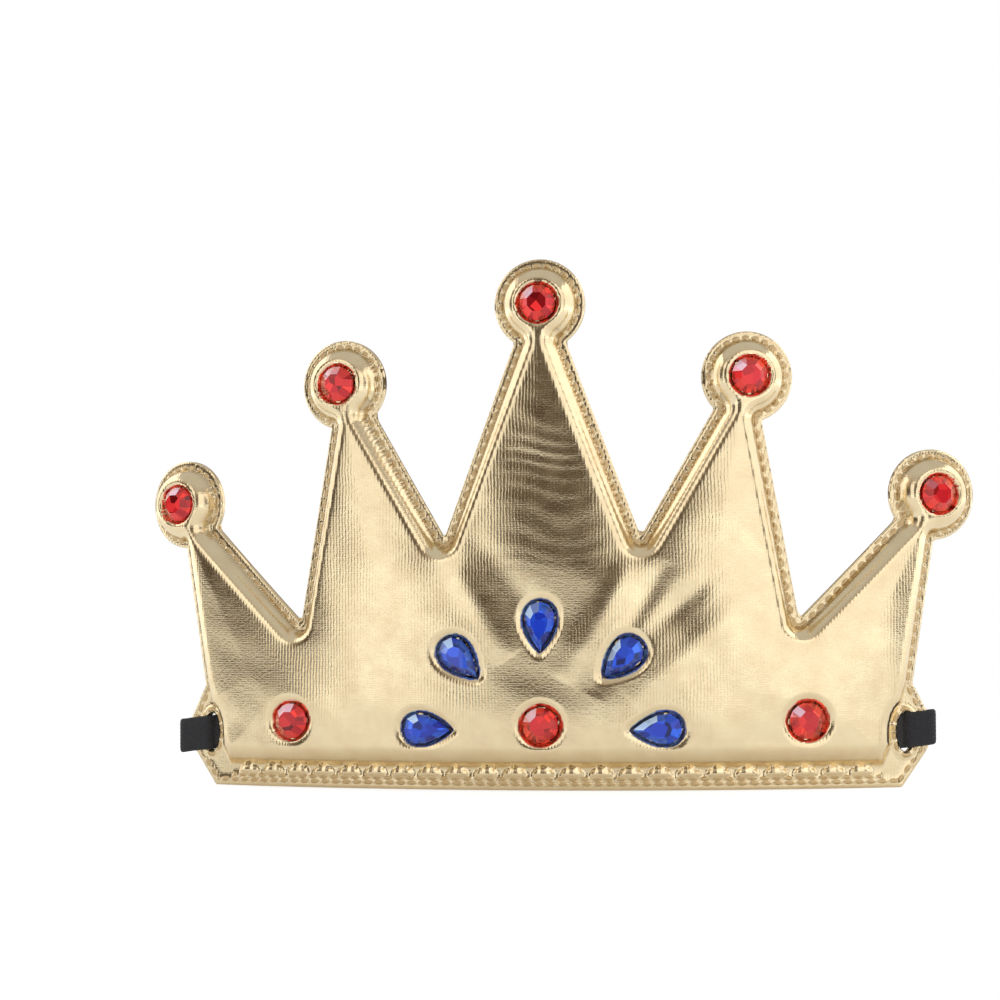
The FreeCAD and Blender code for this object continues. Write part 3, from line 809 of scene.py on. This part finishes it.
def knit_group():
    """Node group of the fine knit: Height is its relief, Depth deep, made of a sine for
    the ribs, a fainter one for the loops, and noise. Grain is its soft mottling."""
    tree, given, out = effect_group("knit_relief", ["Depth"],
                                    {"Height": "Float", "Grain": "Float"})
    flat = new_node(tree, "ShaderNodeUVMap", uv_map="pattern").outputs[0]
    parts = new_node(tree, "ShaderNodeSeparateXYZ", {"Vector": flat})
    drift = noise(tree, flat, 90.0, 3.0)
    jitter = noise(tree, flat, 1100.0, 3.0, 0.6)
    ribs = compute(tree, "MULTIPLY", parts.outputs[0], 2 * math.pi / (RIB_PITCH * MM))
    ribs = compute(tree, "MULTIPLY_ADD", drift, 9.0, ribs)
    ribs = compute(tree, "MULTIPLY_ADD", jitter, 3.2, ribs)
    loops = compute(tree, "MULTIPLY", parts.outputs[1], 2 * math.pi / (LOOP_PITCH * MM))
    loops = compute(tree, "MULTIPLY_ADD", jitter, 12.0, loops)
    height = compute(tree, "MULTIPLY", compute(tree, "SINE", ribs), 0.30)
    height = compute(tree, "MULTIPLY_ADD", compute(tree, "SINE", loops), 0.10, height)
    height = compute(tree, "MULTIPLY_ADD", jitter, 1.6, height)
    feed(tree, out["Height"], compute(tree, "MULTIPLY", height, given["Depth"]))
    feed(tree, out["Grain"], noise(tree, flat, 160.0, 4.0, 0.6))
    return tree


def stitch_row(tree, run, across, middle, half_across, half_run=0.43):
    """Row of oval puffs, 0 to 1, one for each pitch of the run: 1 less the squares of
    the shares of the oval's half length and half width."""
    turn = compute(tree, "FRACT", compute(tree, "DIVIDE", run, STITCH_PITCH * MM))
    along = compute(tree, "DIVIDE", compute(tree, "SUBTRACT", turn, 0.5), half_run)
    aside = compute(tree, "DIVIDE", compute(tree, "SUBTRACT", across, middle * MM),
                    half_across * MM)
    reach = compute(tree, "MULTIPLY_ADD", aside, aside,
                    compute(tree, "MULTIPLY", along, along))
    return compute(tree, "MAXIMUM", compute(tree, "SUBTRACT", 1.0, reach), 0.0)


def stitch_group():
    """Node group of the seam's pressed stitches and the hem's second row: Stitch is 1
    on a stitch, and Height is its relief, Depth deep."""
    tree, given, out = effect_group("pressed_stitches", ["Depth"],
                                    {"Height": "Float", "Stitch": "Float"})
    seam = new_node(tree, "ShaderNodeUVMap", uv_map="stitches").outputs[0]
    flat = new_node(tree, "ShaderNodeUVMap", uv_map="pattern").outputs[0]
    seam = new_node(tree, "ShaderNodeSeparateXYZ", {"Vector": seam}).outputs
    flat = new_node(tree, "ShaderNodeSeparateXYZ", {"Vector": flat}).outputs
    edge = stitch_row(tree, seam[0], seam[1], STITCH_ROW, 0.66, 0.45)
    hem = stitch_row(tree, flat[0], flat[1], HEM_ROW, 0.6)
    inner = compute(tree, "LESS_THAN", compute(tree, "ABSOLUTE", flat[0]),
                    PAD_BASE_HALF * MM)
    hem = compute(tree, "MULTIPLY", hem, inner)
    both = compute(tree, "MAXIMUM", edge, hem)
    feed(tree, out["Height"], compute(tree, "MULTIPLY", both, given["Depth"]))
    feed(tree, out["Stitch"], remap(tree, both, 0.2, 0.45, 0.0, 1.0))
    return tree


def facet_group():
    """Node group of the foil-backed facets seen through a clear stone. Each cell of a cell
    pattern leans the true normal by its own colour less a half, times Tilt, and Shade is
    one channel of that colour, which the stone's colour takes as painted reflection."""
    tree, given, out = effect_group("foil_backed_facets", ["Scale", "Tilt"],
                                    {"Normal": "Vector", "Shade": "Float"})
    place = new_node(tree, "ShaderNodeTexCoord").outputs["Object"]
    cells = new_node(tree, "ShaderNodeTexVoronoi", {"Vector": place,
                                                    "Scale": given["Scale"]})
    facet = cells.outputs["Color"]
    true = new_node(tree, "ShaderNodeNewGeometry").outputs["Normal"]
    lean = new_node(tree, "ShaderNodeVectorMath", {0: facet, 1: (0.5, 0.5, 0.5)},
                    operation="SUBTRACT")
    lean = new_node(tree, "ShaderNodeVectorMath", {0: lean.outputs[0],
                                                   "Scale": given["Tilt"]},
                    operation="SCALE")
    lean = new_node(tree, "ShaderNodeVectorMath", {0: true, 1: lean.outputs[0]},
                    operation="ADD")
    normal = new_node(tree, "ShaderNodeVectorMath", {0: lean.outputs[0]},
                      operation="NORMALIZE")
    feed(tree, out["Normal"], normal.outputs[0])
    parts = new_node(tree, "ShaderNodeSeparateXYZ", {"Vector": facet})
    feed(tree, out["Shade"], parts.outputs[1])
    return tree


def grain_group():
    """Node group of a fine even grain on the surface, as noise of the given Scale."""
    tree, given, out = effect_group("fine_grain", ["Scale"], {"Height": "Float"})
    place = new_node(tree, "ShaderNodeTexCoord").outputs["Object"]
    feed(tree, out["Height"], noise(tree, place, given["Scale"], 3.0))
    return tree


def principled(name):
    """New material with its tree and its surface shader."""
    material = bpy.data.materials.new(name)
    material.use_nodes = True
    tree = material.node_tree
    return material, tree, tree.nodes["Principled BSDF"]


def set_inputs(shader, tree, **values):
    """Link or set the shader's inputs; an underscore stands for a space."""
    for key, value in values.items():
        feed(tree, shader.inputs[key.replace("_", " ")], value)


def effect(tree, group, **values):
    """Outputs of a node group placed in a material with its own input values."""
    return new_node(tree, "ShaderNodeGroup", values, node_tree=group).outputs


def foil_knit(name, gold, shade, rough, relief, paints_crease_shade):
    """Metallic foil on fine knit: gold mottled at random with a second colour, painted
    shade in brown along its creases if asked, painted shade in dull tan on its stitches,
    and raised by its ribs and by the stitches."""
    material, tree, shader = principled(name)
    knit = effect(tree, KNIT, Depth=relief * MM)
    stitches = effect(tree, STITCHES, Depth=0.30 * MM)
    grain = knit["Grain"]
    colour = mix_colour(tree, remap(tree, grain, 0.35, 0.7, 0.0, 0.5), gold, shade)
    # Painted shade: brown where the crease mask marks the seam's crease and the padding's
    # foot
    if paints_crease_shade:
        crease = new_node(tree, "ShaderNodeAttribute", attribute_name="crease").outputs[2]
        depth = compute(tree, "MULTIPLY", crease, 0.55)
        colour = mix_colour(tree, depth, colour, CREASE_SHADE_BROWN)
    # Painted shade: the stitches turn dull tan, which stands for gold thread in shade
    pressed = compute(tree, "MULTIPLY", stitches["Stitch"], 0.8)
    colour = mix_colour(tree, pressed, colour, STITCH_SHADE_TAN)
    height = compute(tree, "ADD", stitches["Height"], knit["Height"])
    smooth = remap(tree, grain, 0.3, 0.7, rough - 0.04, rough + 0.05)
    bump = new_node(tree, "ShaderNodeBump", {"Height": height, "Strength": 1.0,
                                             "Distance": 1.0})
    set_inputs(shader, tree, Base_Color=colour, Normal=bump.outputs[0],
             Metallic=compute(tree, "MULTIPLY_ADD", pressed, -0.6, 1.0),
             Roughness=compute(tree, "MULTIPLY_ADD", pressed, 0.3, smooth))
    return material


def cut_acrylic(name, deep, bright, pale):
    """Clear coloured stone on a foil back, under a smooth clear coat. Each facet gets a
    painted reflection between deep and bright, and those that face the highlight's aim a
    painted highlight in pale."""
    material, tree, shader = principled(name)
    facets = effect(tree, FACETS, Scale=300.0, Tilt=0.55)
    painted_facet_tone = new_node(tree, "ShaderNodeAttribute", attribute_name="painted_facet_tone").outputs[2]
    painted_glint = new_node(tree, "ShaderNodeAttribute", attribute_name="painted_glint").outputs[2]
    # Painted reflection: the foil cells and each facet's brightness pick the colour between
    # deep and bright
    share = compute(tree, "MULTIPLY_ADD", facets["Shade"], 0.35,
                    compute(tree, "MULTIPLY", painted_facet_tone, 0.75))
    colour = mix_colour(tree, share, deep, bright)
    # Painted highlight: facets that face the aim turn pale and less metallic
    colour = mix_colour(tree, compute(tree, "MULTIPLY", painted_glint, 0.85), colour, pale)
    set_inputs(shader, tree, Base_Color=colour, Roughness=0.14, Coat_Weight=1.0,
             Metallic=remap(tree, painted_glint, 0, 1, 0.85, 0.25), Coat_Roughness=0.02,
             Normal=facets["Normal"])
    return material


def woven_elastic(name):
    """Black elastic: lengthways cords crossed by a fine weft, with a soft sheen."""
    material, tree, shader = principled(name)
    flat = new_node(tree, "ShaderNodeUVMap", uv_map="pattern").outputs[0]
    parts = new_node(tree, "ShaderNodeSeparateXYZ", {"Vector": flat})
    fuzz = noise(tree, flat, 2600.0, 3.0)
    weft = compute(tree, "SINE", compute(
        tree, "ADD", compute(tree, "MULTIPLY", parts.outputs[0], 2 * math.pi / 0.0007),
        compute(tree, "MULTIPLY", fuzz, 2.0)))
    cords = compute(tree, "SINE", compute(tree, "MULTIPLY", parts.outputs[1],
                                          2 * math.pi / 0.0005))
    height = compute(tree, "ADD", compute(tree, "MULTIPLY", weft, cords),
                     compute(tree, "MULTIPLY", fuzz, 0.8))
    bump = new_node(tree, "ShaderNodeBump", {"Height": height, "Strength": 0.8,
                                             "Distance": 0.00012})
    # Painted shade: the weave is darker where it lies low, between the cords
    colour = mix_colour(tree, remap(tree, height, -0.8, 1.4, 0, 1),
                        (0.003, 0.003, 0.005, 1), (0.020, 0.020, 0.025, 1))
    set_inputs(shader, tree, Base_Color=colour, Roughness=0.75, Normal=bump.outputs[0],
             Sheen_Weight=0.06, Sheen_Roughness=0.4)
    return material


def plain_thread(name):
    """Black sewing thread, roughened by its twist."""
    material, tree, shader = principled(name)
    twist = effect(tree, GRAIN, Scale=3000.0)["Height"]
    bump = new_node(tree, "ShaderNodeBump", {"Height": twist, "Strength": 0.6,
                                             "Distance": 0.0001})
    set_inputs(shader, tree, Base_Color=(0.012, 0.012, 0.014, 1), Roughness=0.6,
             Normal=bump.outputs[0])
    return material


def soft_foam(name):
    """Cream foam, roughened by its pores."""
    material, tree, shader = principled(name)
    pores = effect(tree, GRAIN, Scale=1500.0)["Height"]
    bump = new_node(tree, "ShaderNodeBump", {"Height": pores, "Strength": 0.6,
                                             "Distance": 0.0003})
    set_inputs(shader, tree, Base_Color=(0.83, 0.81, 0.74, 1), Roughness=0.9,
             Normal=bump.outputs[0])
    return material


def dress(piece, node, material):
    """Give a piece its material and its body, and hide the CAD node it stands for."""
    piece.data.materials.append(material)
    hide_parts(node)
    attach(piece, "root")


# Painted shade colour for the creases
CREASE_SHADE_BROWN = (0.24, 0.15, 0.065, 1)
# Painted shade colour for the stitches: gold thread in shade
STITCH_SHADE_TAN = (0.56, 0.38, 0.17, 1)
KNIT = knit_group()
STITCHES = stitch_group()
FACETS = facet_group()
GRAIN = grain_group()
foil = foil_knit("gold_foil_knit", (0.88, 0.74, 0.48, 1), (0.76, 0.58, 0.35, 1),
                 0.175, 0.021, True)
backing = foil_knit("gold_foil_backing_knit", (0.84, 0.70, 0.46, 1),
                    (0.74, 0.57, 0.34, 1), 0.26, 0.021, False)
foam = soft_foam("cream_foam")
elastic = woven_elastic("black_woven_elastic")
thread = plain_thread("black_sewing_thread")
red = cut_acrylic("red_foil_backed_acrylic", (0.42, 0.0, 0.012, 1), (1.0, 0.05, 0.035, 1),
                  (0.90, 0.62, 0.75, 1))
blue = cut_acrylic("blue_foil_backed_acrylic", (0.003, 0.015, 0.34, 1),
                   (0.025, 0.15, 0.95, 1), (0.55, 0.75, 1.0, 1))

cloth = front_cover()
dress(cloth, "front_cover", foil)
dress(back_cover(), "back_cover", backing)
core = foam_core()
dress(core, "foam_pad", foam)
for number, along, rise in RED_STONES:
    dress(red_stone(number, along, rise), f"red_stone_{number}", red)
for number, along, rise, swing in BLUE_STONES:
    dress(blue_stone(number, along, rise, swing), f"blue_stone_{number}",
          blue)
dress(elastic_strap(), "elastic_strap", elastic)
for word, side in (("left", -1), ("right", 1)):
    dress(tack_stitches(f"zigzag_tack_{word}", f"strap_tack_{word}", side),
          f"strap_tack_{word}", thread)


def pale_floor(half=3.0):
    """Plain pale table top, flat on the crown's base, that keeps the crown's shadow and
    fades to the white of the backdrop away from it."""
    mesh = bpy.data.meshes.new("pale_floor")
    low = CAD_BOX[0][2]
    mesh.from_pydata([(-half, -half, low), (half, -half, low), (half, half, low),
                      (-half, half, low)], [], [(0, 1, 2, 3)])
    floor = linked("pale_floor", mesh)
    material = bpy.data.materials.new("pale_floor_paint")
    material.use_nodes = True
    tree = material.node_tree
    tree.nodes.clear()
    seen = new_node(tree, "ShaderNodeLightPath").outputs["Is Camera Ray"]
    place = new_node(tree, "ShaderNodeTexCoord").outputs["Object"]
    away = new_node(tree, "ShaderNodeVectorMath", {0: place}, operation="LENGTH")
    far = remap(tree, away.outputs["Value"], 0.22, 0.42, 0, 1)
    grey = mix_colour(tree, seen, (0.9, 0.9, 0.9, 1), (0.5, 0.5, 0.5, 1))
    paint = new_node(tree, "ShaderNodeBsdfDiffuse", {"Color": grey})
    lift = compute(tree, "MULTIPLY", seen, 0.62)
    glow = new_node(tree, "ShaderNodeEmission", {"Strength": lift})
    both = tree.nodes.new("ShaderNodeAddShader")
    feed(tree, both.inputs[0], paint.outputs[0])
    feed(tree, both.inputs[1], glow.outputs[0])
    white = new_node(tree, "ShaderNodeEmission", {"Strength": 1.0})
    blend = new_node(tree, "ShaderNodeMixShader",
                     {0: compute(tree, "MULTIPLY", far, seen)})
    feed(tree, blend.inputs[1], both.outputs[0])
    feed(tree, blend.inputs[2], white.outputs[0])
    out = tree.nodes.new("ShaderNodeOutputMaterial")
    feed(tree, out.inputs["Surface"], blend.outputs[0])
    floor.data.materials.append(material)


def soft_lamp(name, spot, aim, width, height, power):
    """Soft rectangular lamp that faces the aim."""
    data = bpy.data.lights.new(name, "AREA")
    data.shape = "RECTANGLE"
    data.size, data.size_y, data.energy = width, height, power
    lamp = bpy.data.objects.new(name, data)
    lamp.location = spot
    lamp.rotation_euler = (Vector(aim) - Vector(spot)).to_track_quat("-Z", "Y").to_euler()
    bpy.context.scene.collection.objects.link(lamp)


def studio_world(fill, low, high):
    """White to the camera, a soft fill to everything else. Reflections see it dim and
    warm at the level of the crown, and brighter and white overhead."""
    world = bpy.data.worlds.new("white_studio")
    world.use_nodes = True
    tree = world.node_tree
    path = new_node(tree, "ShaderNodeLightPath")
    aim = new_node(tree, "ShaderNodeNewGeometry").outputs["Incoming"]
    rise = new_node(tree, "ShaderNodeSeparateXYZ", {"Vector": aim}).outputs[2]
    ground = tree.nodes["Background"]
    reflected = remap(tree, rise, -0.2, -0.8, low, high)
    level = new_node(tree, "ShaderNodeMix", {0: path.outputs["Is Glossy Ray"], 2: fill,
                                             3: reflected}).outputs[0]
    white = compute(tree, "MAXIMUM", path.outputs["Is Camera Ray"], level)
    warm = compute(tree, "MULTIPLY", remap(tree, rise, -0.2, -0.8, 1, 0),
                   path.outputs["Is Glossy Ray"])
    feed(tree, ground.inputs["Color"],
         mix_colour(tree, warm, (1, 1, 1, 1), (1.0, 0.72, 0.48, 1)))
    feed(tree, ground.inputs["Strength"], white)
    bpy.context.scene.world = world


def photo_camera():
    """Camera fitted to the photograph: its place, its level with a small roll, its lens."""
    right = Vector((0.98876, 0.14954, 0.0))
    up = Vector((0.00678, -0.04485, 0.99897))
    roll = math.radians(0.4)
    level = right * math.cos(roll) - up * math.sin(roll)
    upright = right * math.sin(roll) + up * math.cos(roll)
    place = Matrix((level, upright, level.cross(upright))).transposed().to_4x4()
    place.translation = (0.086085, -0.689363, 0.049505)
    data = bpy.data.cameras.new("photo_camera")
    data.lens = 85.78
    data.sensor_width = 36.0
    camera = bpy.data.objects.new("photo_camera", data)
    camera.matrix_world = place
    bpy.context.scene.collection.objects.link(camera)
    bpy.context.scene.camera = camera


pale_floor()
soft_lamp("left_soft_lamp", (-0.455, -0.77, 0.22), (-0.03, -0.03, 0.07), 0.38, 0.9, 1.12)
soft_lamp("right_soft_lamp", (0.45, -0.75, 0.22), (0.03, -0.03, 0.07), 0.64, 0.9, 1.95)
soft_lamp("left_side_lamp", (-0.68, 0.14, 0.25), (-0.03, -0.03, 0.07), 0.9, 0.9, 3.0)
soft_lamp("right_side_lamp", (0.69, 0.09, 0.25), (0.03, -0.03, 0.07), 1.1, 0.9, 3.6)
studio_world(0.7, 0.075, 0.6)
photo_camera()
bpy.context.scene.view_settings.view_transform = "Standard"
